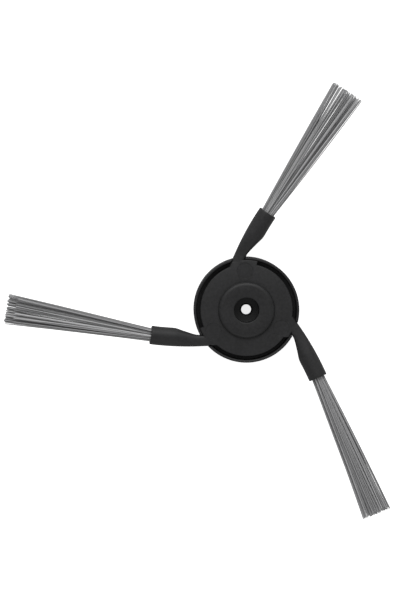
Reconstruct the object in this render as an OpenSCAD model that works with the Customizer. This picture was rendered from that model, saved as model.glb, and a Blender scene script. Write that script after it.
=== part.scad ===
// Side brush of a robot vacuum, seen from the side that faces the floor.
// A round hard hub carries a soft ring with three swept arms, and each arm
// ends in a sleeve that grips a fanned tuft of bristles.
// Z is the spin axis, and the back of the hub rests on z = 0.
// All sizes are in millimetres and all angles in degrees.

/* [Hub] */
// Outside diameter of the rim
hub_d = 37.2; // [34:0.2:46]
// Thickness of the rim
rim_t = 0.95; // [0.8:0.05:1.8]
// How far the rim's crest lies below the face of the soft ring
rim_drop = 0.2; // [0:0.1:1]
// Width of the open groove between the soft ring and the rim
groove_w = 1.4; // [1:0.1:2.4]
// Height from the back to the seat of the soft ring
back_h = 7; // [5:0.2:10]
// Thickness of the web, of the post's wall and of the roof over it
wall_t = 1.6; // [1.2:0.1:2.2]
// Number of ribs on the back
rib_count = 6; // [3:1:9]
// Thickness of a rib
rib_t = 1.2; // [0.8:0.1:2]
// How far the ribs stand back from the resting plane
rib_drop = 0.8; // [0.3:0.1:1.5]
// Chamfer round the back edge of the rim
back_chamfer = 0.4; // [0.2:0.1:0.6]

/* [Centre] */
// Height of the cap, which is also the radius of its shoulder
cap_h = 1.5; // [1:0.1:2]
// How far the cap laps over the soft ring
cap_lap = 1; // [0.4:0.1:2]
// Gap between the boss and the wall of the post
core_gap = 1.6; // [1:0.1:2.4]
// Least wall of the boss
boss_wall = 1.4; // [1:0.1:2]
// Diameter of the recess for the screw head
head_d = 8.8; // [6.5:0.1:9.6]
// Chamfer at the mouth of that recess
head_chamfer = 0.35; // [0.1:0.05:0.6]
// Diameter of the screw hole
screw_d = 3.5; // [2.5:0.1:4.2]
// Chamfer round the screw hole, in its seat
screw_chamfer = 0.6; // [0.2:0.1:0.9]
// Thickness of the screw's seat
seat_t = 2; // [1.5:0.1:2.4]
// Width across the flats of the square drive socket
socket_w = 6; // [5:0.1:6.6]
// Depth of the drive socket
socket_depth = 4.6; // [4.2:0.1:6]
// Rounding of the drive socket's corners
socket_round = 0.5; // [0.2:0.1:1]

/* [Soft ring] */
// Thickness of the soft ring
ring_t = 4; // [3.2:0.1:5]
// Rounding of the ring's outer edge
ring_round = 0.4; // [0.2:0.1:0.8]
// Gap between the feet of the arms and the rim
foot_gap = 0.05; // [0.02:0.01:0.2]
// How far each foot fills the groove behind its arm, as an angle
foot_angle = [12.5, 8.5, 6]; // [3:0.5:16]
// How much less each foot reaches at the rim than at the ring
flare_angle = [0, 0, 3.5]; // [0:0.5:5]
// Gap between the cap and the shallow round mark at the root of each arm
mark_gap = 0.9; // [0.4:0.1:2]
// Place of that mark round the ring, from its arm's direction
mark_angle = 2.3; // [-6:0.1:6]
// Depth of that mark
mark_depth = 0.12; // [0.05:0.01:0.3]

/* [Arms] */
// Length of an arm from the rim to its mouth
arm_len = 20.3; // [17:0.1:28]
// Place of each neck round the rim, from its arm's direction, top, left and right
neck_place_angle = [9.7, 7.5, 9.7]; // [4:0.1:14]
// Direction of the neck, from the arm's direction
neck_angle = -25.2; // [-40:0.1:-10]
// Width of the neck
neck_w = 4.05; // [3:0.05:5]
// Length of the straight neck
neck_len = 2.4; // [2:0.1:5]
// Gap between the neck and its notch in the rim, and above the notch's floor
notch_gap = 0.1; // [0.05:0.05:0.3]
// Length over which the neck widens into the sleeve
taper_len = 10; // [6:0.1:12]
// Share of the taper over which it eases in, and out again
taper_ease = 0.2; // [0.05:0.05:0.5]
// How far the arm bends back along its length
bend_angle = 10.3; // [0:0.1:20]
// Slope of the arm towards the floor
slope_angle = 5; // [0:0.5:10]
// How far each arm has flexed sideways, top, left and right
lean_angle = [1.5, -2.3, -0.6]; // [-6:0.1:6]
// Outside diameter of the sleeve
sleeve_d = 6.6; // [6:0.1:8]
// Rounding of the sleeve's mouth
mouth_round = 0.35; // [0.1:0.05:0.5]
// Diameter of the sleeve's bore, which the tuft's root fills
grip_d = 4.9; // [3.8:0.1:5.2]
// Depth of the sleeve's bore
grip_depth = 6; // [4:0.25:8]

/* [Tufts] */
// Length of each tuft outside its sleeve, top, left and right
tuft_len = [50.6, 51.3, 51.8]; // [35:0.1:70]
// How far each tuft turns from its arm, top, left and right
turn_angle = [0.7, -2.6, -0.6]; // [-8:0.1:8]
// Width of each fan at its tip
fan_w = [12.2, 11.2, 10.6]; // [5:0.1:16]
// Thickness of the fans at their tips
fan_t = 7.5; // [4:0.1:12]
// Diameter of a bristle
bristle_d = 0.36; // [0.25:0.01:0.42]
// Distance between bristles where they leave the root
bristle_pitch = 0.48; // [0.45:0.01:0.8]
// Depth of the root's face below the mouth
root_drop = 0.4; // [0.2:0.1:1]
// Bare margin of the root round its bristles
root_margin = 0.12; // [0.08:0.01:0.4]
// How deep the bristles run into the root
root_hold = 0.8; // [0.4:0.1:2]
// How unevenly the bristles are cut
cut_scatter = 0.7; // [0:0.1:1.5]
// How much shorter the bristles nearest the floor are, top, left and right
front_short = [0.5, 3, 0.5]; // [0:0.1:4]

/* [Hidden] */
$fn = 72;
// How far joined shapes run into each other, and cuts run past a face
join = 0.3;
eps = 0.01;

// Direction of each arm round the hub, top, left and right
arm_place_angle = [0, 120, 240];

rim_r = hub_d / 2;
groove_r = rim_r - rim_t;
ring_r = groove_r - groove_w;
foot_r = groove_r - foot_gap;
boss_r = max(head_d, socket_w * sqrt(2)) / 2 + boss_wall;
post_r = boss_r + core_gap + wall_t;
cap_r = post_r + cap_lap;
ring_top = back_h + ring_t;
cap_top = ring_top + cap_h;
rim_top = ring_top - rim_drop;
web_z = back_h - wall_t;
roof_z = cap_top - wall_t;
seat_z = socket_depth + seat_t;
mark_d = ring_r - cap_r - mark_gap + ring_round;
mark_r = cap_r + mark_gap + mark_d / 2;

// Heights of the neck and the sleeve, a little inside the ring's faces
neck_h = ring_t - 2 * notch_gap;
arm_z = back_h + ring_t / 2;
// Length over which the arm takes up its slope
slope_len = neck_len + taper_len;

// Exponents of the arm's section: a rounded square at the neck, a circle at the sleeve
neck_square = 3.2;
round_square = 2;
// How far the arm starts inside the ring
arm_start = 0.75 * neck_w;
// How far a bristle's tip strays from its place in the fan
stray = 0.4 * bristle_pitch;

// Facets round an arm and steps along it
arm_sides = 28;
arm_steps = 16;

// Plan directions: along an arm and to its right, for an angle from +Y
function along(a) = [-sin(a), cos(a)];
function right(a) = [cos(a), sin(a)];
function ramp(t) = let (x = min(max(t, 0), 1)) x * x * (3 - 2 * x);
function powered(x, p) = sign(x) * pow(abs(x), p);
function neck_way(k) = neck_angle + lean_angle[k];

// Straight neck, then a shallow arc: the direction at a distance s
function bend_at(s) = bend_angle * max(0, s - neck_len) / (arm_len - neck_len);
function arm_angle(k, s) = neck_way(k) - bend_at(s);

// The arm's leading edge in plan
function edge_start(k) = along(neck_place_angle[k]) * groove_r - right(neck_way(k)) * neck_w / 2;
function arc_run(a, b) = b < 0.001 ? along(a)
    : (right(a) - right(a - b)) * 180 / (PI * b);
function arm_edge(k, s) = edge_start(k) + along(neck_way(k)) * min(s, neck_len)
    + arc_run(neck_way(k), bend_at(s)) * max(0, s - neck_len);

// A straight line from 0 to 1 that eases in and out over a share q of its length
function eased(t, q) = t <= 0 ? 0 : t >= 1 ? 1
    : t < q ? t * t / (2 * q * (1 - q))
    : t < 1 - q ? (t - q / 2) / (1 - q)
    : 1 - (1 - t) * (1 - t) / (2 * q * (1 - q));

// Width and height of the arm at a distance s, and how square its section is
function grown(s) = eased((s - neck_len) / taper_len, taper_ease);
function arm_w(s) = neck_w + (sleeve_d - neck_w) * grown(s);
function arm_h(s) = neck_h + (sleeve_d - neck_h) * grown(s);
function arm_square(s) = neck_square + (round_square - neck_square) * grown(s);

// The arm's centre line in space
function slope_at(s) = atan(tan(slope_angle) * min(max(s / slope_len, 0), 1));
function rise(s) = tan(slope_angle) * (s < 0 ? 0 : s < slope_len ? s * s / (2 * slope_len)
    : s - slope_len / 2);
function arm_centre(k, s) = let (p = arm_edge(k, s) + right(arm_angle(k, s)) * arm_w(s) / 2)
    [p[0], p[1], arm_z + rise(s)];

// Unit vectors of the section: along the arm, across it and up
function ahead(a, tilt) = [along(a)[0] * cos(tilt), along(a)[1] * cos(tilt), sin(tilt)];
function across(a) = [right(a)[0], right(a)[1], 0];
function upward(a, tilt) = [-along(a)[0] * sin(tilt), -along(a)[1] * sin(tilt), cos(tilt)];

// One section of the arm, drawn in by a rounding at the mouth
function arm_section(k, s, inset) =
    let (a = arm_angle(k, s), tilt = slope_at(s), p = 2 / arm_square(s))
    [for (j = [0 : arm_sides - 1]) let (q = 360 * (j + 0.5) / arm_sides)
        arm_centre(k, s)
        + across(a) * (arm_w(s) / 2 - inset) * powered(cos(q), p)
        + upward(a, tilt) * (arm_h(s) / 2 - inset) * powered(sin(q), p)];

// The mouth of the sleeve: its centre and axis
mouth_s = arm_len;
function mouth_point(k) = arm_centre(k, mouth_s);
function mouth_axis(k) = ahead(arm_angle(k, mouth_s), slope_at(mouth_s));

module aim(point, axis) {
    translate(point)
        rotate([0, acos(axis[2] / norm(axis)), atan2(axis[1], axis[0])])
            children();
}

module hub() color([0.17, 0.17, 0.175]) difference() {
    union() {
        hub_shell();
        hub_ribs();
    }
    drive_socket();
    screw_way();
    for (k = [0 : 2])
        rotate(arm_place_angle[k]) rim_notch(k);
}

// Rim, web, post and cap, turned round the axis
module hub_shell() rotate_extrude() {
    rim_profile();
    translate([post_r - wall_t, web_z])
        square([groove_r - post_r + wall_t + eps, wall_t]);
    translate([post_r - wall_t, web_z])
        square([wall_t, ring_top - web_z + eps]);
    square([boss_r, roof_z + eps]);
    cap_profile();
}

// Upright rim with a full round crest and a chamfered back edge
module rim_profile() {
    difference() {
        translate([groove_r, 0])
            square([rim_t, rim_top - rim_t / 2]);
        polygon([
            [rim_r - back_chamfer, -eps],
            [rim_r + eps, -eps],
            [rim_r + eps, back_chamfer]
        ]);
    }
    translate([groove_r + rim_t / 2, rim_top - rim_t / 2])
        circle(d = rim_t, $fn = 24);
}

// Flat cap with a quarter-round shoulder that lies on the soft ring
module cap_profile() {
    translate([0, ring_top])
        square([cap_r - cap_h, cap_h]);
    translate([0, roof_z])
        square([post_r, ring_top - roof_z + eps]);
    intersection() {
        translate([cap_r - cap_h, ring_top])
            circle(r = cap_h, $fn = 32);
        translate([0, ring_top])
            square([cap_r, cap_h]);
    }
}

module hub_ribs() {
    for (i = [0 : rib_count - 1])
        rotate(360 * (i + 0.5) / rib_count)
            translate([boss_r - join, -rib_t / 2, rib_drop]) {
                cube([groove_r - boss_r + 2 * join, rib_t, web_z - rib_drop + eps]);
                cube([post_r - boss_r, rib_t, roof_z - rib_drop + eps]);
            }
}

// Square socket for the drive spindle, open to the back
module drive_socket() {
    straight = socket_w - 2 * socket_round;
    translate([0, 0, -join])
        linear_extrude(socket_depth + join) {
            square([socket_w, straight], center = true);
            square([straight, socket_w], center = true);
            for (x = [-1, 1], y = [-1, 1])
                translate([x, y] * straight / 2)
                    circle(r = socket_round, $fn = 24);
        }
}

// Screw hole, its chamfer and the recess for the screw head
module screw_way() {
    translate([0, 0, socket_depth - join])
        cylinder(d = screw_d, h = seat_t + 2 * join);
    translate([0, 0, seat_z - screw_chamfer])
        cylinder(d1 = screw_d, d2 = screw_d + 2 * screw_chamfer, h = screw_chamfer);
    translate([0, 0, seat_z])
        cylinder(d = head_d, h = cap_top - seat_z + join);
    translate([0, 0, cap_top - head_chamfer])
        cylinder(d1 = head_d, d2 = head_d + 2 * (head_chamfer + eps), h = head_chamfer + eps);
}

// Notch in the rim that lets a neck through
module rim_notch(k)
    translate(along(neck_place_angle[k]) * groove_r)
        rotate(neck_way(k))
            translate([-neck_w / 2 - notch_gap, -neck_w, back_h])
                cube([neck_w + 2 * notch_gap, 2 * neck_w + rim_t, ring_t]);

module arm_ring() color([0.2, 0.2, 0.205]) difference() {
    union() {
        ring_body();
        for (k = [0 : 2])
            rotate(arm_place_angle[k]) {
                arm_foot(k);
                arm_body(k);
            }
    }
    for (k = [0 : 2])
        rotate(arm_place_angle[k]) {
            grip_bore(k);
            round_mark();
        }
}

// Soft ring round the post, under the cap and on the web
module ring_body() rotate_extrude() {
    translate([post_r, back_h])
        square([ring_r - post_r, ring_t - ring_round]);
    translate([post_r, back_h])
        square([ring_r - post_r - ring_round, ring_t]);
    translate([ring_r - ring_round, ring_top - ring_round])
        circle(r = ring_round, $fn = 24);
}

// Foot that fills the groove where the arm leaves the ring
module arm_foot(k) intersection() {
    rotate_extrude()
        translate([ring_r - ring_round - join, back_h])
            square([foot_r - ring_r + ring_round + join, ring_t]);
    translate([0, 0, back_h - join])
        linear_extrude(ring_t + 2 * join)
            polygon([
                edge_start(k) - along(neck_way(k)) * 2 * neck_w,
                edge_start(k) + along(neck_way(k)) * neck_w / 2,
                along(flare_angle[k] - foot_angle[k]) * (groove_r + rim_t),
                along(flare_angle[k] - foot_angle[k]) * groove_r,
                along(-foot_angle[k]) * ring_r,
                along(-foot_angle[k]) * post_r
            ]);
}

// Neck, taper and sleeve as one smooth body through its sections, from inside the foot
module arm_body(k) {
    stops = concat(
        [[-arm_start, 0]],
        [for (i = [0 : arm_steps]) [(arm_len - mouth_round) * i / arm_steps, 0]],
        [for (q = [30 : 30 : 90])
            [arm_len - mouth_round * (1 - sin(q)), mouth_round * (1 - cos(q))]]
    );
    rings = len(stops);
    n = arm_sides;
    polyhedron(
        points = [for (p = stops) each arm_section(k, p[0], p[1])],
        faces = concat(
            [[for (j = [n - 1 : -1 : 0]) j]],
            [for (i = [0 : rings - 2], j = [0 : n - 1]) let (m = (j + 1) % n)
                [i * n + j, i * n + m, (i + 1) * n + m, (i + 1) * n + j]],
            [[for (j = [0 : n - 1]) (rings - 1) * n + j]]
        )
    );
}

// Bore of the sleeve, which holds the root of the tuft
module grip_bore(k)
    aim(mouth_point(k), mouth_axis(k))
        translate([0, 0, -grip_depth])
            cylinder(d = grip_d, h = grip_depth + join);

module round_mark()
    rotate(mark_angle)
        translate([0, mark_r, ring_top - mark_depth])
            cylinder(d = mark_d, h = mark_depth + join);

// Repeatable scatter between -1 and 1
function scatter(i, k) = let (x = sin(i * 127.1 + k * 311.7) * 437.58) 2 * (x - floor(x)) - 1;

// Places of the bristles in the root: a triangular grid within a circle
root_r = grip_d / 2 - bristle_d / 2 - root_margin;
row_h = bristle_pitch * sqrt(3) / 2;
rows = ceil(root_r / row_h);
columns = ceil(root_r / bristle_pitch) + 1;
places = [
    for (i = [-rows : rows], j = [-columns : columns])
        let (x = (j + (i % 2 == 0 ? 0 : 0.5)) * bristle_pitch, y = i * row_h)
        if (x * x + y * y <= root_r * root_r) [x, y]
];

module tuft(k) {
    a = arm_angle(k, mouth_s);
    tilt = slope_at(mouth_s);
    b = a + turn_angle[k];
    face = mouth_point(k) - mouth_axis(k) * root_drop;
    spread_x = (fan_w[k] - bristle_d) / (2 * root_r);
    spread_y = (fan_t - bristle_d) / (2 * root_r);
    rotate(arm_place_angle[k]) {
        aim(mouth_point(k), mouth_axis(k))
            translate([0, 0, -grip_depth])
                cylinder(d = grip_d, h = grip_depth - root_drop);
        for (i = [0 : len(places) - 1]) {
            x = places[i][0];
            y = places[i][1];
            from = face + across(a) * x + upward(a, tilt) * y;
            fan_x = x * spread_x + scatter(i, k) * stray;
            fan_y = y * spread_y + scatter(i + 50, k) * stray;
            tip = mouth_point(k) + ahead(b, tilt) * tuft_len[k]
                + across(b) * fan_x + upward(b, tilt) * fan_y;
            way = (tip - from) / norm(tip - from);
            cut = cut_scatter * scatter(i + 90, k) - front_short[k] * ramp(y / root_r);
            aim(from - way * root_hold, way)
                cylinder(d = bristle_d, h = root_hold + norm(tip - from) + cut, $fn = 6);
        }
    }
}

module tuft_top() color([0.66, 0.66, 0.67]) tuft(0);
module tuft_left() color([0.66, 0.66, 0.67]) tuft(1);
module tuft_right() color([0.66, 0.66, 0.67]) tuft(2);

hub();
arm_ring();
tuft_top();
tuft_left();
tuft_right();
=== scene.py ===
"""Side brush of a robot vacuum: its detailed parts, their finishes and a small studio.

Everything is in metres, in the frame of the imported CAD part: Z is the spin axis, the back of
the hub rests on z = 0, and the side that faces the floor looks up to the camera.
"""
import math
import random

import bmesh
import bpy
from bpy.props import FloatProperty, FloatVectorProperty, IntProperty, PointerProperty
from mathutils import Matrix, Vector


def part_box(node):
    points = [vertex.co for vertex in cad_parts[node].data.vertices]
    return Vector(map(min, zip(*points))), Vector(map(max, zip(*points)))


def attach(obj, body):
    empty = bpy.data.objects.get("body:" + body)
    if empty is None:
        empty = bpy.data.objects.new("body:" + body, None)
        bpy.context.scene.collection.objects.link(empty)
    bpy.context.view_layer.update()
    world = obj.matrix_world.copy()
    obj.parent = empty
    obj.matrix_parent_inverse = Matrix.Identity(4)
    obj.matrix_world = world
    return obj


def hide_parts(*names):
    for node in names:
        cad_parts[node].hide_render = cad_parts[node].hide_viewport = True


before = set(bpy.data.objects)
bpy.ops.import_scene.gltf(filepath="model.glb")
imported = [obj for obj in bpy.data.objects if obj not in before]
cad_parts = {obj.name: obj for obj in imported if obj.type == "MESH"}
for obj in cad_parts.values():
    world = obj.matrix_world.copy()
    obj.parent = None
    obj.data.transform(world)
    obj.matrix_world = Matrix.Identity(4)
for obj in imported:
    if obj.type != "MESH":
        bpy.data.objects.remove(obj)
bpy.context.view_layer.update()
HUB_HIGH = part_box("hub")[1]

bl_info = {
    "name": "Robot vacuum side brush",
    "version": (1, 0, 0),
    "blender": (4, 5, 0),
    "location": "3D View > Sidebar > Side Brush",
    "description": "Builds the hub, the soft arms, the bristle tufts and a studio for a side brush",
    "category": "Add Mesh",
}

MM = 0.001
TURN = 2 * math.pi
ARM_PLACES = [0, TURN / 3, 2 * TURN / 3]
TUFT_NAMES = ["tuft_top", "tuft_left", "tuft_right"]
# Exponents of an arm's section: a rounded square at the neck, a circle at the sleeve
NECK_SQUARE = 3.2
ROUND_SQUARE = 2
# How far joined shapes stay inside the ring's faces, so that no two faces share a plane
HAIR = 0.006 * MM
# Width of the ring of back face between the boss's edge and the socket's lead-in
BOSS_EDGE = 0.5 * MM
# Turn from one bristle to the next that fills a circle evenly
EVEN_TURN = 2.39996
# Number of bands of like tone across a tuft; the darker bands are partly random tone and partly
# painted shade for the shadows between bristles
STREAKS = 14
# Size of the picture, and the pixel in it where the spin axis meets the hub's back
PICTURE = (400, 600)
AXIS_PIXEL = (246.15, 308.75)


def linear(code):
    """Linear colour of an sRGB hex value."""
    parts = [int(code[i:i + 2], 16) / 255 for i in (1, 3, 5)]
    return [c / 12.92 if c <= 0.04045 else ((c + 0.055) / 1.055) ** 2.4 for c in parts]


# Sizes and colours

class HubSizes(bpy.types.PropertyGroup):
    """The hard hub with its rim, cap, screw recess and drive socket"""
    rim_radius: FloatProperty(
        name="Rim radius", description="Outside radius of the rim",
        default=HUB_HIGH.x, unit="LENGTH", precision=5)
    height: FloatProperty(
        name="Height", description="From the back of the hub to the top of its cap",
        default=HUB_HIGH.z, unit="LENGTH", precision=5)
    rim_wall: FloatProperty(
        name="Rim wall", description="Thickness of the rim",
        default=0.95 * MM, unit="LENGTH", precision=5)
    rim_drop: FloatProperty(
        name="Rim drop", description="How far the rim's crest lies below the soft ring",
        default=0.2 * MM, unit="LENGTH", precision=5)
    web_height: FloatProperty(
        name="Web height", description="From the back to the seat of the soft ring",
        default=7 * MM, unit="LENGTH", precision=5)
    wall: FloatProperty(
        name="Wall", description="Thickness of the web, the post and the roof",
        default=1.6 * MM, unit="LENGTH", precision=5)
    post_radius: FloatProperty(
        name="Post radius", description="Radius of the post inside the soft ring",
        default=9 * MM, unit="LENGTH", precision=5)
    boss_radius: FloatProperty(
        name="Boss radius", description="Radius of the boss round the drive socket",
        default=5.8 * MM, unit="LENGTH", precision=5)
    cap_radius: FloatProperty(
        name="Cap radius", description="Radius of the cap over the soft ring",
        default=10 * MM, unit="LENGTH", precision=5)
    cap_height: FloatProperty(
        name="Cap height", description="Height of the cap and radius of its shoulder",
        default=1.5 * MM, unit="LENGTH", precision=5)
    recess_radius: FloatProperty(
        name="Recess radius", description="Radius of the recess for the screw head",
        default=4.4 * MM, unit="LENGTH", precision=5)
    screw_radius: FloatProperty(
        name="Screw hole radius", description="Radius of the screw hole",
        default=1.75 * MM, unit="LENGTH", precision=5)
    screw_chamfer: FloatProperty(
        name="Screw hole chamfer", description="Chamfer round the screw hole, in its seat",
        default=0.6 * MM, unit="LENGTH", precision=5)
    seat_height: FloatProperty(
        name="Seat height", description="From the back to the seat of the screw head",
        default=6.6 * MM, unit="LENGTH", precision=5)
    socket_width: FloatProperty(
        name="Socket width", description="Width across the flats of the drive socket",
        default=6 * MM, unit="LENGTH", precision=5)
    socket_depth: FloatProperty(
        name="Socket depth", description="Depth of the drive socket",
        default=4.6 * MM, unit="LENGTH", precision=5)
    ribs: IntProperty(
        name="Ribs", description="Number of ribs on the back", default=6, min=0, max=12)
    rib_wall: FloatProperty(
        name="Rib thickness", description="Thickness of a rib",
        default=1.2 * MM, unit="LENGTH", precision=5)
    colour: FloatVectorProperty(
        name="Hub colour", description="Colour of the hard moulding",
        size=3, subtype="COLOR", min=0, max=1, default=linear("#232324"))


class RingSizes(bpy.types.PropertyGroup):
    """The soft ring under the cap and the feet of the arms"""
    radius: FloatProperty(
        name="Ring radius", description="Outside radius of the soft ring",
        default=16.25 * MM, unit="LENGTH", precision=5)
    thickness: FloatProperty(
        name="Ring thickness", description="Thickness of the soft ring",
        default=4 * MM, unit="LENGTH", precision=5)
    rounding: FloatProperty(
        name="Ring rounding", description="Rounding of the ring's outer edge",
        default=0.4 * MM, unit="LENGTH", precision=5)
    foot_radius: FloatProperty(
        name="Foot radius", description="Radius to which the feet fill the groove",
        default=17.6 * MM, unit="LENGTH", precision=5)
    foot_reach: FloatVectorProperty(
        name="Foot reach", description="How far each foot fills the groove: top, left, right",
        size=3, unit="ROTATION", default=[math.radians(a) for a in (12.5, 8.5, 6)])
    foot_flare: FloatVectorProperty(
        name="Foot flare", description="How much less each foot reaches at the rim",
        size=3, unit="ROTATION", default=[math.radians(a) for a in (0, 0, 3.5)])
    mark_radius: FloatProperty(
        name="Mark radius", description="Radius of the shallow mark at each arm's root",
        default=2.875 * MM, unit="LENGTH", precision=5)
    mark_place: FloatProperty(
        name="Mark place", description="Distance of that mark from the spin axis",
        default=13.775 * MM, unit="LENGTH", precision=5)
    mark_turn: FloatProperty(
        name="Mark turn", description="Place of that mark from its arm's direction",
        default=math.radians(2.3), unit="ROTATION")
    mark_depth: FloatProperty(
        name="Mark depth", description="Depth of that mark",
        default=0.12 * MM, unit="LENGTH", precision=5)
    colour: FloatVectorProperty(
        name="Rubber colour", description="Colour of the soft moulding",
        size=3, subtype="COLOR", min=0, max=1, default=linear("#252526"))


class ArmSizes(bpy.types.PropertyGroup):
    """The three swept arms and their sleeves"""
    length: FloatProperty(
        name="Arm length", description="From the rim to the sleeve's mouth",
        default=20.3 * MM, unit="LENGTH", precision=5)
    rim_inside: FloatProperty(
        name="Neck start", description="Radius at which the necks start",
        default=17.65 * MM, unit="LENGTH", precision=5)
    neck_place: FloatVectorProperty(
        name="Neck place", description="Place of each neck round the rim: top, left, right",
        size=3, unit="ROTATION", default=[math.radians(a) for a in (9.7, 7.5, 9.7)])
    neck_turn: FloatProperty(
        name="Neck direction", description="Direction of the neck from the arm's direction",
        default=math.radians(-25.2), unit="ROTATION")
    lean: FloatVectorProperty(
        name="Lean", description="How far each arm has flexed sideways: top, left, right",
        size=3, unit="ROTATION", default=[math.radians(a) for a in (1.5, -2.3, -0.6)])
    neck_width: FloatProperty(
        name="Neck width", description="Width of the neck",
        default=4.05 * MM, unit="LENGTH", precision=5)
    neck_length: FloatProperty(
        name="Neck length", description="Length of the straight neck",
        default=2.4 * MM, unit="LENGTH", precision=5)
    neck_gap: FloatProperty(
        name="Neck gap", description="Gap between a neck and its notch in the rim",
        default=0.1 * MM, unit="LENGTH", precision=5)
    taper: FloatProperty(
        name="Taper", description="Length over which the neck widens into the sleeve",
        default=10 * MM, unit="LENGTH", precision=5)
    taper_ease: FloatProperty(
        name="Taper easing", description="Share of the taper over which it eases in, and out",
        default=0.2, min=0.05, max=0.5, subtype="FACTOR")
    bend: FloatProperty(
        name="Bend", description="How far the arm bends back along its length",
        default=math.radians(10.3), unit="ROTATION")
    slope: FloatProperty(
        name="Slope", description="Slope of the arm towards the floor",
        default=math.radians(5), unit="ROTATION")
    sleeve_radius: FloatProperty(
        name="Sleeve radius", description="Outside radius of the sleeve",
        default=3.3 * MM, unit="LENGTH", precision=5)
    mouth_round: FloatProperty(
        name="Mouth rounding", description="Rounding of the sleeve's mouth",
        default=0.35 * MM, unit="LENGTH", precision=5)
    bore_radius: FloatProperty(
        name="Bore radius", description="Radius of the sleeve's bore",
        default=2.45 * MM, unit="LENGTH", precision=5)
    bore_depth: FloatProperty(
        name="Bore depth", description="Depth of the sleeve's bore",
        default=6 * MM, unit="LENGTH", precision=5)


class TuftSizes(bpy.types.PropertyGroup):
    """The fanned tufts of bristles"""
    length: FloatVectorProperty(
        name="Tuft length", description="Length outside the sleeve: top, left, right",
        size=3, unit="LENGTH", precision=5, default=[50.6 * MM, 51.3 * MM, 51.8 * MM])
    turn: FloatVectorProperty(
        name="Tuft turn", description="How far each tuft turns from its arm: top, left, right",
        size=3, unit="ROTATION", default=[math.radians(a) for a in (0.7, -2.6, -0.6)])
    fan_width: FloatVectorProperty(
        name="Fan width", description="Width of each fan at its tip: top, left, right",
        size=3, unit="LENGTH", precision=5, default=[12.2 * MM, 11.2 * MM, 10.6 * MM])
    fan_depth: FloatProperty(
        name="Fan depth", description="Thickness of the fans at their tips",
        default=7 * MM, unit="LENGTH", precision=5)
    front_short: FloatVectorProperty(
        name="Front layer", description="How much shorter the bristles on top are cut",
        size=3, unit="LENGTH", precision=5, default=[0.5 * MM, 3 * MM, 0.5 * MM])
    strands: IntProperty(
        name="Bristles", description="Number of bristles in a tuft", default=118, min=20, max=200)
    strand_radius: FloatProperty(
        name="Bristle radius", description="Radius of one bristle",
        default=0.17 * MM, unit="LENGTH", precision=5)
    root_drop: FloatProperty(
        name="Root drop", description="Depth of the fused root's face below the mouth",
        default=0.4 * MM, unit="LENGTH", precision=5)
    light: FloatVectorProperty(
        name="Light bristles", description="Colour of the lightest bristles",
        size=3, subtype="COLOR", min=0, max=1, default=linear("#cfcfd0"))
    # Partly painted shade: the darkest bristles stand in for the shadows between bristles, on top
    # of the nylon's random tone
    dark: FloatVectorProperty(
        name="Dark bristles", description="Colour of the darkest bristles",
        size=3, subtype="COLOR", min=0, max=1, default=linear("#636364"))


class StageSizes(bpy.types.PropertyGroup):
    """The floor, the lamps and the camera"""
    floor_width: FloatProperty(
        name="Floor", description="Width of the floor sheet", default=4, unit="LENGTH")
    floor_colour: FloatVectorProperty(
        name="Floor colour", description="Colour of the paper floor",
        size=3, subtype="COLOR", min=0, max=1, default=linear("#e6e6e6"))
    camera_distance: FloatProperty(
        name="Camera distance", description="From the brush to the camera",
        default=0.9, unit="LENGTH")
    pixel: FloatProperty(
        name="Pixel", description="Size on the brush of one pixel of the picture",
        default=0.352 * MM, unit="LENGTH", precision=6)
    key: FloatProperty(
        name="Key lamp", description="Power of the large lamp above the picture's top edge",
        default=4, unit="POWER")
    fill: FloatProperty(
        name="Fill lamp", description="Power of the lamp below the picture's bottom edge",
        default=0.8, unit="POWER")
    ambient: FloatProperty(
        name="Ambient", description="Strength of the even light from all round",
        default=0.4, min=0, max=1, subtype="FACTOR")


class SideBrushSizes(bpy.types.PropertyGroup):
    """All sizes and colours of the side brush"""
    hub: PointerProperty(type=HubSizes)
    ring: PointerProperty(type=RingSizes)
    arms: PointerProperty(type=ArmSizes)
    tufts: PointerProperty(type=TuftSizes)
    stage: PointerProperty(type=StageSizes)


# Mesh tools

def along(a):
    """Plan direction at an angle from +Y."""
    return Vector((-math.sin(a), math.cos(a), 0))


def right(a):
    """Plan direction to the right of along(a)."""
    return Vector((math.cos(a), math.sin(a), 0))


def eased(t, q):
    """A straight line from 0 to 1 that eases in and out over a share q of its length."""
    if t <= 0 or t >= 1:
        return float(t >= 1)
    if t < q:
        return t * t / (2 * q * (1 - q))
    if t < 1 - q:
        return (t - q / 2) / (1 - q)
    return 1 - (1 - t) ** 2 / (2 * q * (1 - q))


def section(bm, corners):
    """A closed wire in the XZ plane through corners given as radius, height and rounding."""
    verts = [bm.verts.new((r, 0, z)) for r, z, _ in corners]
    face = bm.faces.new(verts)
    for size in sorted({c[2] for c in corners if c[2]}):
        picked = [v for v, c in zip(verts, corners) if c[2] == size]
        bmesh.ops.bevel(bm, geom=picked, offset=size, offset_type="OFFSET", profile=0.5,
                        segments=5 if size > 0.4 * MM else 3, affect="VERTICES",
                        material=-1, clamp_overlap=False)
    faces = [f for f in bm.faces if all(abs(v.co.y) < 1e-9 for v in f.verts)]
    return faces[0]


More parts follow.
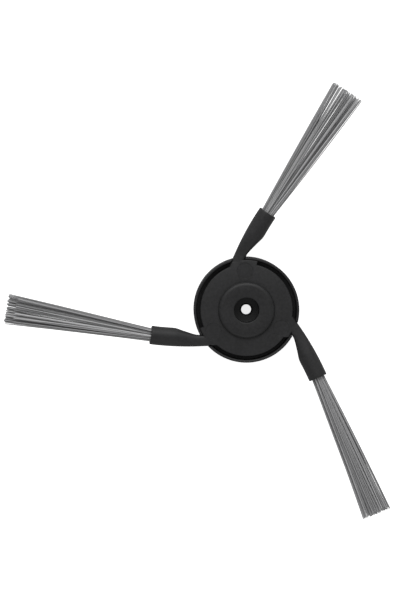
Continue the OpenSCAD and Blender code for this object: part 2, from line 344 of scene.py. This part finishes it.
def turned(bm, corners, steps, angle=TURN, start=0.0, open_between=None):
    """Turns a section round Z. A section stays open between two of its corners if asked."""
    face = section(bm, corners)
    edges, verts = list(face.edges), list(face.verts)
    bmesh.ops.delete(bm, geom=[face], context="FACES_ONLY")
    if open_between:
        ends = [Vector((r, 0, z)) for r, z, _ in (corners[i] for i in open_between)]
        gap = [e for e in edges
               if all(min((v.co - p).length for p in ends) < 1e-7 for v in e.verts)]
        bmesh.ops.delete(bm, geom=gap, context="EDGES_FACES")
        edges = [e for e in edges if e.is_valid]
    if start:
        bmesh.ops.rotate(bm, verts=verts, cent=(0, 0, 0), matrix=Matrix.Rotation(start, 3, "Z"))
    full = abs(angle - TURN) < 1e-6
    bmesh.ops.spin(bm, geom=verts + edges, cent=(0, 0, 0), axis=(0, 0, 1), angle=angle,
                   steps=steps, use_merge=full, use_duplicate=False)
    if not full:
        bmesh.ops.holes_fill(bm, edges=[e for e in bm.edges if e.is_boundary], sides=0)


def circle_at(bm, radius, height):
    """The edges of a turned shape that lie on one circle."""
    def on(v):
        return abs(math.hypot(v.co.x, v.co.y) - radius) < 1e-6 and abs(v.co.z - height) < 1e-6
    return [e for e in bm.edges if on(e.verts[0]) and on(e.verts[1])]


def square_reach(q, half, corner):
    """Distance from the middle of a square with rounded corners to its edge, at an angle."""
    s, c = sorted((abs(math.sin(q)), abs(math.cos(q))))
    flat = half - corner
    if half / c * s <= flat:
        return half / c
    return flat * (c + s) + math.sqrt((flat * (c + s)) ** 2 - 2 * flat ** 2 + corner ** 2)


def new_verts(made):
    return [g for g in made["geom"] if isinstance(g, bmesh.types.BMVert)]


def tube(bm, sides, rings):
    """An open tube of radius 1 round Z, with a ring of vertices at each whole height."""
    verts = bmesh.ops.create_circle(bm, segments=sides, radius=1)["verts"]
    edges = [e for e in bm.edges if set(e.verts) <= set(verts)]
    for _ in range(rings - 1):
        verts = new_verts(bmesh.ops.extrude_edge_only(bm, edges=edges))
        bmesh.ops.translate(bm, verts=verts, vec=(0, 0, 1))
        edges = [e for e in bm.edges if set(e.verts) <= set(verts)]


def mesh_object(name, bm):
    """A mesh object in the scene, its doubles merged and its faces outwards."""
    bmesh.ops.remove_doubles(bm, verts=bm.verts, dist=1e-7)
    bmesh.ops.recalc_face_normals(bm, faces=bm.faces)
    mesh = bpy.data.meshes.new(name)
    bm.to_mesh(mesh)
    bm.free()
    obj = bpy.data.objects.new(name, mesh)
    bpy.context.scene.collection.objects.link(obj)
    return obj


def combine(base, others, operation):
    """Joins or cuts base with the other objects, which are used up."""
    for other in others:
        step = base.modifiers.new("combine", "BOOLEAN")
        step.operation, step.solver, step.object = operation, "EXACT", other
        step.use_hole_tolerant = True
    bpy.context.view_layer.update()
    ready = base.evaluated_get(bpy.context.evaluated_depsgraph_get())
    mesh = bpy.data.meshes.new_from_object(ready)
    base.modifiers.clear()
    base.data = mesh
    for other in others:
        bpy.data.objects.remove(other)


def dress(obj, name, node, materials, angle=32):
    """Names a finished piece, gives it its finish and ties it to the frame."""
    obj.name = obj.data.name = name
    obj.data.materials.clear()
    for material in materials:
        obj.data.materials.append(material)
    obj.data.shade_smooth()
    obj.data.set_sharp_from_angle(angle=math.radians(angle))
    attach(obj, "root")
    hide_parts(node)
    return obj


# Finishes

def add_node(tree, kind, values=None, links=None):
    """Adds a node with its settings, socket values and links."""
    made = tree.nodes.new(kind)
    for key, value in (values or {}).items():
        if isinstance(key, str) and hasattr(made, key):
            setattr(made, key, value)
        else:
            made.inputs[key].default_value = value
    for key, source in (links or {}).items():
        tree.links.new(source, made.inputs[key])
    return made


def empty_material(name):
    material = bpy.data.materials.new(name)
    material.use_nodes = True
    material.node_tree.nodes.clear()
    return material, material.node_tree


def moulded(name, colour, rough, grain, bump):
    """A black moulding from a spark-eroded tool."""
    material, tree = empty_material(name)
    place = add_node(tree, "ShaderNodeTexCoord")
    fine = add_node(tree, "ShaderNodeTexNoise",
                    {"Scale": 1 / grain, "Detail": 2.0, "Roughness": 0.6},
                    {"Vector": place.outputs["Object"]})
    cloud = add_node(tree, "ShaderNodeTexNoise",
                     {"Scale": 1 / (9 * MM), "Detail": 2.0, "Roughness": 0.5},
                     {"Vector": place.outputs["Object"]})
    tone = add_node(tree, "ShaderNodeMix", {"data_type": "FLOAT", 0: 0.35},
                    {2: fine.outputs["Fac"], 3: cloud.outputs["Fac"]})
    tint = add_node(tree, "ShaderNodeMapRange",
                    {"From Min": 0.35, "From Max": 0.65, "To Min": 0.72, "To Max": 1.28},
                    {"Value": tone.outputs[0]})
    paint = add_node(tree, "ShaderNodeVectorMath",
                     {"operation": "SCALE", 0: colour},
                     {"Scale": tint.outputs["Result"]})
    gloss = add_node(tree, "ShaderNodeMapRange",
                     {"From Min": 0.3, "From Max": 0.7,
                      "To Min": rough - 0.06, "To Max": rough + 0.06},
                     {"Value": fine.outputs["Fac"]})
    relief = add_node(tree, "ShaderNodeBump", {"Strength": bump, "Distance": 0.03 * MM},
                      {"Height": fine.outputs["Fac"]})
    shader = add_node(tree, "ShaderNodeBsdfPrincipled",
                      {"IOR": 1.5, "Specular IOR Level": 0.35},
                      {"Base Color": paint.outputs[0], "Roughness": gloss.outputs["Result"],
                       "Normal": relief.outputs["Normal"]})
    add_node(tree, "ShaderNodeOutputMaterial", links={"Surface": shader.outputs[0]})
    return material


def monofilament(name, light, dark):
    """Nylon monofilament: each bristle's tone comes from a per-bristle attribute, partly random
    tone and partly painted shade where the darker bristles stand in for the shadows between
    bristles.
    """
    material, tree = empty_material(name)
    tone_and_shade = add_node(tree, "ShaderNodeAttribute", {"attribute_name": "strand_tone_and_shade"})
    paint = add_node(tree, "ShaderNodeMix",
                     {"data_type": "RGBA", 6: (*dark, 1), 7: (*light, 1)},
                     {0: tone_and_shade.outputs["Fac"]})
    shader = add_node(tree, "ShaderNodeBsdfPrincipled",
                      {"IOR": 1.53, "Roughness": 0.35},
                      {"Base Color": paint.outputs[2]})
    add_node(tree, "ShaderNodeOutputMaterial", links={"Surface": shader.outputs[0]})
    return material


# The pieces

class ArmPath:
    """The line of one arm: where it runs and how wide and high it is at a distance s."""

    def __init__(self, sizes, number):
        a, ring, hub = sizes.arms, sizes.ring, sizes.hub
        self.a, self.number = a, number
        self.neck = a.neck_turn + a.lean[number]
        self.start = (along(a.neck_place[number]) * a.rim_inside
                      - right(self.neck) * a.neck_width / 2)
        self.floor = hub.web_height + a.neck_gap
        self.top = hub.web_height + ring.thickness - 2 * HAIR
        self.axis = hub.web_height + ring.thickness / 2

    def bend(self, s):
        return self.a.bend * max(0, s - self.a.neck_length) / (self.a.length - self.a.neck_length)

    def angle(self, s):
        return self.neck - self.bend(s)

    def edge(self, s):
        """The arm's leading edge in plan."""
        b, over = self.bend(s), max(0, s - self.a.neck_length)
        run = (along(self.neck) if b < 1e-5 else (right(self.neck) - right(self.neck - b)) / b)
        return self.start + along(self.neck) * min(s, self.a.neck_length) + run * over

    def grown(self, s):
        return eased((s - self.a.neck_length) / self.a.taper, self.a.taper_ease)

    def width(self, s):
        return self.a.neck_width + (2 * self.a.sleeve_radius - self.a.neck_width) * self.grown(s)

    def height(self, s):
        neck = self.top - self.floor
        return neck + (2 * self.a.sleeve_radius - neck) * self.grown(s)

    def squareness(self, s):
        return NECK_SQUARE + (ROUND_SQUARE - NECK_SQUARE) * self.grown(s)

    def tilt(self, s):
        full = self.a.neck_length + self.a.taper
        return math.atan(math.tan(self.a.slope) * min(max(s / full, 0), 1))

    def rise(self, s):
        full = self.a.neck_length + self.a.taper
        if s < 0:
            return 0
        return math.tan(self.a.slope) * (s * s / (2 * full) if s < full else s - full / 2)

    def frame(self, s):
        """Centre, across, up and ahead at a distance s."""
        g, t = self.angle(s), self.tilt(s)
        centre = self.edge(s) + right(g) * self.width(s) / 2
        neck_axis = (self.top + self.floor) / 2
        centre.z = neck_axis + (self.axis - neck_axis) * self.grown(s) + self.rise(s)
        ahead = along(g) * math.cos(t) + Vector((0, 0, math.sin(t)))
        up = Vector((0, 0, math.cos(t))) - along(g) * math.sin(t)
        return centre, right(g), up, ahead


def lofted_arm(path):
    """One arm as a closed skin: outside, mouth and bore."""
    a = path.a
    stops = []
    reach = a.length - a.mouth_round
    steps, steps_inside, inside_step = 24, 4, 0.9 * MM
    for i in range(-steps_inside, steps + 1):
        s = reach * i / steps if i > 0 else inside_step * i
        stops.append((path.frame(s), path.width(s) / 2, path.height(s) / 2, path.squareness(s)))
    end = path.frame(a.length)
    for q in (22.5, 45, 67.5, 90):
        back = a.mouth_round * (1 - math.sin(math.radians(q)))
        half = a.sleeve_radius - a.mouth_round * (1 - math.cos(math.radians(q)))
        stops.append((path.frame(a.length - back), half, half, 2))
    lip = 0.15 * MM
    for back, half in ((0, a.bore_radius + lip), (0.3 * lip, a.bore_radius + 0.3 * lip),
                       (lip, a.bore_radius), (a.bore_depth, a.bore_radius)):
        centre, x, y, ahead = end
        stops.append(((centre - ahead * back, x, y, ahead), half, half, 2))
    bm = bmesh.new()
    tube(bm, 48, len(stops))
    for v in bm.verts:
        (centre, x, y, _), half_w, half_h, square = stops[round(v.co.z)]
        q = math.atan2(v.co.y, v.co.x)
        c, s = (math.copysign(abs(f) ** (2 / square), f) for f in (math.cos(q), math.sin(q)))
        v.co = centre + x * half_w * c + y * half_h * s
    bmesh.ops.holes_fill(bm, edges=[e for e in bm.edges if e.is_boundary], sides=0)
    bmesh.ops.rotate(bm, verts=bm.verts, cent=(0, 0, 0),
                     matrix=Matrix.Rotation(ARM_PLACES[path.number], 3, "Z"))
    return mesh_object("arm_%d" % path.number, bm)


def foot(sizes, path):
    """The foot that fills the groove where an arm leaves the ring."""
    ring, hub, k = sizes.ring, sizes.hub, path.number
    # A hair inside the ring's faces, so that the two join without faces in one plane
    low, top = hub.web_height + 0.02 * MM, hub.web_height + ring.thickness - HAIR
    inner, outer = ring.radius - 1.2 * ring.rounding, ring.foot_radius
    reach, flare = ring.foot_reach[k], ring.foot_flare[k]
    bm = bmesh.new()
    first, last = TURN / 4 - reach - 0.05, TURN / 4 + sizes.arms.neck_place[k] + 0.25
    turned(bm, [(inner, low, 0), (outer, low, 0), (outer, top, 0.35 * MM), (inner, top, 0)],
           24, last - first, first)
    near, far = along(-reach) * ring.radius, along(flare - reach) * sizes.arms.rim_inside
    for point, way in ((near, (far - near).cross(Vector((0, 0, 1)))),
                       (path.start + right(path.neck) * 0.4 * MM, -right(path.neck))):
        parts = bm.verts[:] + bm.edges[:] + bm.faces[:]
        bmesh.ops.bisect_plane(bm, geom=parts, dist=1e-7, plane_co=point,
                               plane_no=way, clear_outer=True)
        bmesh.ops.holes_fill(bm, edges=[e for e in bm.edges if e.is_boundary], sides=0)
    bmesh.ops.rotate(bm, verts=bm.verts, cent=(0, 0, 0),
                     matrix=Matrix.Rotation(ARM_PLACES[k], 3, "Z"))
    return mesh_object("foot_%d" % k, bm)


def mark_cutter(sizes, k):
    """The shallow round mark that the moulding tool leaves at the root of an arm."""
    ring = sizes.ring
    top = sizes.hub.web_height + ring.thickness
    bm = bmesh.new()
    bmesh.ops.create_cone(bm, cap_ends=True, segments=64, depth=3 * ring.mark_depth,
                          radius1=ring.mark_radius - ring.mark_depth,
                          radius2=ring.mark_radius + 2 * ring.mark_depth)
    bmesh.ops.translate(bm, verts=bm.verts,
                        vec=(0, ring.mark_place, top + 0.5 * ring.mark_depth))
    bmesh.ops.rotate(bm, verts=bm.verts, cent=(0, 0, 0),
                     matrix=Matrix.Rotation(ARM_PLACES[k] + ring.mark_turn, 3, "Z"))
    return mesh_object("mark_%d" % k, bm)


def rib(hub, turn):
    """One rib on the back, from the boss to the rim, stepped up into the post."""
    roof = hub.height - hub.wall
    under = hub.web_height - hub.wall
    lap, low = 0.3 * MM, 0.8 * MM
    near, far = hub.boss_radius - lap, hub.rim_radius - hub.rim_wall + lap
    bm = bmesh.new()
    verts = [bm.verts.new((r, -hub.rib_wall / 2, z)) for r, z in (
        (near, low), (far, low), (far, under + lap), (hub.post_radius, under + lap),
        (hub.post_radius, roof + lap), (near, roof + lap))]
    face = bm.faces.new(verts)
    top = new_verts(bmesh.ops.extrude_face_region(bm, geom=[face], use_keep_orig=True))
    bmesh.ops.translate(bm, verts=top, vec=(0, hub.rib_wall, 0))
    edges = [e for e in bm.edges if all(abs(v.co.z - low) < 1e-7 for v in e.verts)
             and abs(e.verts[0].co.y - e.verts[1].co.y) < 1e-7]
    bmesh.ops.bevel(bm, geom=edges, offset=0.25 * MM, segments=3, profile=0.5,
                    affect="EDGES", material=-1, clamp_overlap=True)
    bmesh.ops.rotate(bm, verts=bm.verts, cent=(0, 0, 0), matrix=Matrix.Rotation(turn, 3, "Z"))
    return mesh_object("rib", bm)


def notch_cutter(sizes, path):
    """The notch in the rim that lets a neck through."""
    a, hub, ring = sizes.arms, sizes.hub, sizes.ring
    bm = bmesh.new()
    bmesh.ops.create_cube(bm, size=1)
    wide, long, high = a.neck_width + 2 * a.neck_gap, 3 * a.neck_width, 2 * ring.thickness
    bmesh.ops.scale(bm, verts=bm.verts, vec=(wide, long, high))
    bmesh.ops.translate(bm, verts=bm.verts, vec=(0, 0, high / 2 + hub.web_height))
    bmesh.ops.rotate(bm, verts=bm.verts, cent=(0, 0, 0), matrix=Matrix.Rotation(path.neck, 3, "Z"))
    bmesh.ops.translate(bm, verts=bm.verts, vec=along(a.neck_place[path.number]) * a.rim_inside)
    bmesh.ops.translate(bm, verts=bm.verts, vec=along(path.neck) * 0.6 * a.neck_width)
    bmesh.ops.rotate(bm, verts=bm.verts, cent=(0, 0, 0),
                     matrix=Matrix.Rotation(ARM_PLACES[path.number], 3, "Z"))
    return mesh_object("notch", bm)


class SIDEBRUSH_OT_hub(bpy.types.Operator):
    """Build the hard hub, with its ribs, screw recess and drive socket"""
    bl_idname = "side_brush.hub"
    bl_label = "Hub"

    def socket(self, bm, hub):
        """Draws the boss's back face in to a rounded square, and that up to the screw hole."""
        half, corner, lead = hub.socket_width / 2, 0.5 * MM, 0.25 * MM
        edges = circle_at(bm, hub.boss_radius - BOSS_EDGE, 0)
        for height, wider in ((0, lead), (lead, 0), (hub.socket_depth, 0)):
            verts = new_verts(bmesh.ops.extrude_edge_only(bm, edges=edges))
            for v in verts:
                q = math.atan2(v.co.y, v.co.x)
                v.co = right(q) * square_reach(q, half + wider, corner)
                v.co.z = height
            edges = [e for e in bm.edges if set(e.verts) <= set(verts)]
        verts = new_verts(bmesh.ops.extrude_edge_only(bm, edges=edges))
        for v in verts:
            v.co = right(math.atan2(v.co.y, v.co.x)) * hub.screw_radius
            v.co.z = hub.socket_depth

    def execute(self, context):
        sizes = context.scene.side_brush
        hub, ring = sizes.hub, sizes.ring
        seat, top = hub.web_height + ring.thickness, hub.height
        under, roof = hub.web_height - hub.wall, hub.height - hub.wall
        rim_in, rim_top = hub.rim_radius - hub.rim_wall, seat - hub.rim_drop
        corners = [
            (hub.screw_radius, hub.socket_depth, 0),
            (hub.screw_radius, hub.seat_height - hub.screw_chamfer, 0.1 * MM),
            (hub.screw_radius + hub.screw_chamfer, hub.seat_height, 0.1 * MM),
            (hub.recess_radius, hub.seat_height, 0.25 * MM),
            (hub.recess_radius, top, 0.35 * MM),
            (hub.cap_radius, top, hub.cap_height * 0.999),
            (hub.cap_radius, seat, 0),
            (hub.post_radius, seat, 0),
            (hub.post_radius, hub.web_height, 0),
            (rim_in, hub.web_height, 0.3 * MM),
            (rim_in, rim_top, hub.rim_wall * 0.499),
            (hub.rim_radius, rim_top, hub.rim_wall * 0.499),
            (hub.rim_radius, 0, 0.35 * MM),
            (rim_in, 0, 0.15 * MM),
            (rim_in, under, 0.3 * MM),
            (hub.post_radius - hub.wall, under, 0.15 * MM),
            (hub.post_radius - hub.wall, roof, 0.3 * MM),
            (hub.boss_radius, roof, 0.3 * MM),
            (hub.boss_radius, 0, 0.2 * MM),
            (hub.boss_radius - BOSS_EDGE, 0, 0),
        ]
        bm = bmesh.new()
        turned(bm, corners, 144, open_between=(0, len(corners) - 1))
        self.socket(bm, hub)
        body = mesh_object("hub_moulding", bm)
        ribs = [rib(hub, TURN * (i + 0.5) / hub.ribs) for i in range(hub.ribs)]
        combine(body, ribs, "UNION")
        combine(body, [notch_cutter(sizes, ArmPath(sizes, k)) for k in range(3)], "DIFFERENCE")
        # ABS from a spark-eroded tool: an even, fine, dull grain that breaks up every highlight
        finish = moulded("abs_spark_eroded_black", hub.colour, 0.5, 0.8 * MM, 0.5)
        dress(body, "hub_moulding", "hub", [finish])
        return {"FINISHED"}


class SIDEBRUSH_OT_soft_ring(bpy.types.Operator):
    """Build the soft ring with its three arms"""
    bl_idname = "side_brush.soft_ring"
    bl_label = "Soft ring and arms"

    def execute(self, context):
        sizes = context.scene.side_brush
        hub, ring = sizes.hub, sizes.ring
        top = hub.web_height + ring.thickness
        bm = bmesh.new()
        turned(bm, [(hub.post_radius, hub.web_height, 0), (ring.radius, hub.web_height, 0),
                    (ring.radius, top, ring.rounding), (hub.post_radius, top, 0)], 144)
        body = mesh_object("soft_ring_and_arms", bm)
        paths = [ArmPath(sizes, k) for k in range(3)]
        parts = [foot(sizes, p) for p in paths] + [lofted_arm(p) for p in paths]
        combine(body, parts, "UNION")
        combine(body, [mark_cutter(sizes, k) for k in range(3)], "DIFFERENCE")
        # Thermoplastic rubber: softer and duller than the hub, with the same eroded grain
        finish = moulded("tpe_moulded_black", ring.colour, 0.55, 0.8 * MM, 0.4)
        dress(body, "soft_ring_and_arms", "arm_ring", [finish])
        return {"FINISHED"}


class SIDEBRUSH_OT_tufts(bpy.types.Operator):
    """Build the three fanned tufts, bristle by bristle"""
    bl_idname = "side_brush.tufts"
    bl_label = "Bristle tufts"

    def execute(self, context):
        sizes = context.scene.side_brush
        t, a = sizes.tufts, sizes.arms
        finish = monofilament("nylon_monofilament_grey", t.light, t.dark)
        pattern = bmesh.new()
        tube(pattern, 6, 7)
        bmesh.ops.holes_fill(pattern, edges=[e for e in pattern.edges if e.is_boundary], sides=0)
        bmesh.ops.recalc_face_normals(pattern, faces=pattern.faces)
        strand = bpy.data.meshes.new("strand_pattern")
        pattern.to_mesh(strand)
        pattern.free()
        for k, node in enumerate(TUFT_NAMES):
            chance = random.Random(41 + k)
            path = ArmPath(sizes, k)
            mouth, x, y, ahead = path.frame(a.length)
            face = mouth - ahead * t.root_drop
            b, tilt = path.angle(a.length) + t.turn[k], path.tilt(a.length)
            way = along(b) * math.cos(tilt) + Vector((0, 0, math.sin(tilt)))
            over, up = right(b), Vector((0, 0, math.cos(tilt))) - along(b) * math.sin(tilt)
            tip = mouth + way * t.length[k]
            bm = bmesh.new()
            tone = bm.verts.layers.float.new("strand_tone_and_shade")
            root_r = a.bore_radius - t.strand_radius - 0.05 * MM
            streak_tones_and_shade = [chance.random() for _ in range(STREAKS)]
            for i in range(t.strands):
                r = math.sqrt((i + 0.5) / t.strands)
                q = i * EVEN_TURN + chance.uniform(-0.2, 0.2)
                ux, uy = r * math.cos(q), r * math.sin(q)
                wide, deep = t.fan_width[k] / 2 - t.strand_radius, t.fan_depth / 2
                # Each row of bristles fans out almost to the full width of the tip
                full = ux / math.sqrt(1.05 - uy * uy)
                fx = (0.3 * ux + 0.7 * full) * wide + chance.uniform(-0.25, 0.25) * MM
                fy = uy * deep + chance.uniform(-0.3, 0.3) * MM
                foot_point = face - ahead * 0.5 * MM + x * ux * root_r + y * uy * root_r
                end = tip + over * fx + up * fy
                cut = chance.uniform(-0.5, 0.3) * MM
                if uy > 0.45:
                    cut -= t.front_short[k]
                end += (end - foot_point).normalized() * cut
                bow = (over * chance.uniform(-0.25, 0.25) + up * chance.uniform(-0.25, 0.25)) * MM
                count = len(bm.verts)
                bm.from_mesh(strand)
                bm.verts.ensure_lookup_table()
                # Painted shade in part: bands of darker bristles stand in for the shadows between
                # bristles, mixed with a random tone for each bristle
                tone_and_shade = 0.6 * streak_tones_and_shade[int((ux + 1) / 2 * (STREAKS - 0.02))] + 0.4 * chance.random()
                for v in bm.verts[count:]:
                    f = v.co.z / 6
                    centre = foot_point.lerp(end, f) + bow * 4 * f * (1 - f)
                    v.co = centre + (x * v.co.x + y * v.co.y) * t.strand_radius
                    v[tone] = tone_and_shade
            count = len(bm.verts)
            bmesh.ops.create_cone(bm, cap_ends=True, segments=32, radius1=a.bore_radius,
                                  radius2=a.bore_radius, depth=a.bore_depth - t.root_drop)
            bm.verts.ensure_lookup_table()
            basis = Matrix((x, y, ahead)).transposed().to_4x4()
            basis.translation = mouth - ahead * (a.bore_depth + t.root_drop) / 2
            bmesh.ops.transform(bm, matrix=basis, verts=bm.verts[count:])
            bmesh.ops.rotate(bm, verts=bm.verts, cent=(0, 0, 0),
                             matrix=Matrix.Rotation(ARM_PLACES[k], 3, "Z"))
            bmesh.ops.recalc_face_normals(bm, faces=bm.faces)
            mesh = bpy.data.meshes.new(node)
            bm.to_mesh(mesh)
            bm.free()
            obj = bpy.data.objects.new(node, mesh)
            context.scene.collection.objects.link(obj)
            dress(obj, "bristles_" + node[5:], node, [finish], 50)
        return {"FINISHED"}


class SIDEBRUSH_OT_stage(bpy.types.Operator):
    """Build the paper floor, the lamps, the light all round and the camera"""
    bl_idname = "side_brush.stage"
    bl_label = "Stage"

    def execute(self, context):
        stage = context.scene.side_brush.stage
        bm = bmesh.new()
        bmesh.ops.create_grid(bm, x_segments=1, y_segments=1, size=stage.floor_width / 2)
        bmesh.ops.translate(bm, verts=bm.verts, vec=(0, 0, -0.02 * MM))
        mesh = bpy.data.meshes.new("floor_paper")
        bm.to_mesh(mesh)
        bm.free()
        floor = bpy.data.objects.new("floor_paper", mesh)
        context.scene.collection.objects.link(floor)
        floor.data.materials.append(self.paper(stage))
        self.lamp("key_lamp", (-0.08, 1.0, 0.8), 0.75, 0.9, 0.5, stage.key)
        self.lamp("fill_lamp", (0.1, -1.0, 0.7), 0.8, 0.7, 0.4, stage.fill)
        self.surroundings(context, stage)
        self.camera(context, stage)
        context.scene.view_settings.view_transform = "Standard"
        return {"FINISHED"}

    def paper(self, stage):
        """Seamless white paper. The camera sees it burnt out to white but for the shadow."""
        material, tree = empty_material("paper_floor")
        rays = add_node(tree, "ShaderNodeLightPath")
        matt = add_node(tree, "ShaderNodeBsdfDiffuse", {"Color": (*stage.floor_colour, 1)})
        glow = add_node(tree, "ShaderNodeEmission", {}, {"Strength": rays.outputs["Is Camera Ray"]})
        glow.inputs["Color"].default_value = (0.8, 0.8, 0.8, 1)
        both = add_node(tree, "ShaderNodeAddShader", {},
                        {0: matt.outputs[0], 1: glow.outputs[0]})
        add_node(tree, "ShaderNodeOutputMaterial", links={"Surface": both.outputs[0]})
        return material

    def lamp(self, name, toward, distance, wide, high, power):
        """A soft box that looks at the brush from one side."""
        data = bpy.data.lights.new(name, "AREA")
        data.shape, data.size, data.size_y, data.energy = "RECTANGLE", wide, high, power
        obj = bpy.data.objects.new(name, data)
        way = Vector(toward).normalized()
        obj.location = way * distance
        obj.rotation_euler = way.to_track_quat("Z", "Y").to_euler()
        bpy.context.scene.collection.objects.link(obj)

    def surroundings(self, context, stage):
        """White for the camera, and a softer even light for everything else."""
        world = bpy.data.worlds.new("studio")
        world.use_nodes = True
        tree = world.node_tree
        tree.nodes.clear()
        rays = add_node(tree, "ShaderNodeLightPath")
        seen = add_node(tree, "ShaderNodeMath", {"operation": "MAXIMUM"},
                        {0: rays.outputs["Is Camera Ray"], 1: rays.outputs["Is Transmission Ray"]})
        level = add_node(tree, "ShaderNodeMix", {"data_type": "FLOAT", 2: stage.ambient, 3: 1.0},
                         {0: seen.outputs[0]})
        back = add_node(tree, "ShaderNodeBackground", {"Color": (1, 1, 1, 1)},
                        {"Strength": level.outputs[0]})
        add_node(tree, "ShaderNodeOutputWorld", links={"Surface": back.outputs[0]})
        context.scene.world = world

    def camera(self, context, stage):
        """The photograph's view: almost straight down, and a little towards its top edge."""
        back = Vector((-0.01, 0.04, 1)).normalized()
        across = Vector((0, 1, 0)).cross(back).normalized()
        up = back.cross(across)
        aim = (across * (PICTURE[0] / 2 - AXIS_PIXEL[0])
               + up * (AXIS_PIXEL[1] - PICTURE[1] / 2)) * stage.pixel
        aim += back * (9 * MM - aim.z) / back.z
        data = bpy.data.cameras.new("camera")
        data.lens = data.sensor_width * stage.camera_distance / (PICTURE[1] * stage.pixel)
        data.clip_start, data.clip_end = 0.01, 20
        obj = bpy.data.objects.new("camera", data)
        obj.matrix_world = Matrix.Translation(aim + back * stage.camera_distance) @ Matrix(
            (across, up, back)).transposed().to_4x4()
        context.scene.collection.objects.link(obj)
        context.scene.camera = obj


class SIDEBRUSH_PT_panel(bpy.types.Panel):
    """Lists the pieces of the side brush, their sizes and their colours"""
    bl_idname = "SIDEBRUSH_PT_panel"
    bl_label = "Side Brush"
    bl_space_type = "VIEW_3D"
    bl_region_type = "UI"
    bl_category = "Side Brush"

    def draw(self, context):
        sizes = context.scene.side_brush
        for step in STEPS:
            self.layout.operator(step.bl_idname)
        for group in ("hub", "ring", "arms", "tufts", "stage"):
            box = self.layout.box()
            box.label(text=group.capitalize())
            values = getattr(sizes, group)
            for name in values.__annotations__:
                box.prop(values, name)


GROUPS = [HubSizes, RingSizes, ArmSizes, TuftSizes, StageSizes, SideBrushSizes]
STEPS = [SIDEBRUSH_OT_hub, SIDEBRUSH_OT_soft_ring, SIDEBRUSH_OT_tufts, SIDEBRUSH_OT_stage]


def register():
    for cls in GROUPS + STEPS + [SIDEBRUSH_PT_panel]:
        bpy.utils.register_class(cls)
    bpy.types.Scene.side_brush = PointerProperty(type=SideBrushSizes)


def unregister():
    del bpy.types.Scene.side_brush
    for cls in reversed(GROUPS + STEPS + [SIDEBRUSH_PT_panel]):
        bpy.utils.unregister_class(cls)


def main():
    register()
    bpy.ops.side_brush.hub()
    bpy.ops.side_brush.soft_ring()
    bpy.ops.side_brush.tufts()
    bpy.ops.side_brush.stage()


if __name__ == "__main__":
    main()
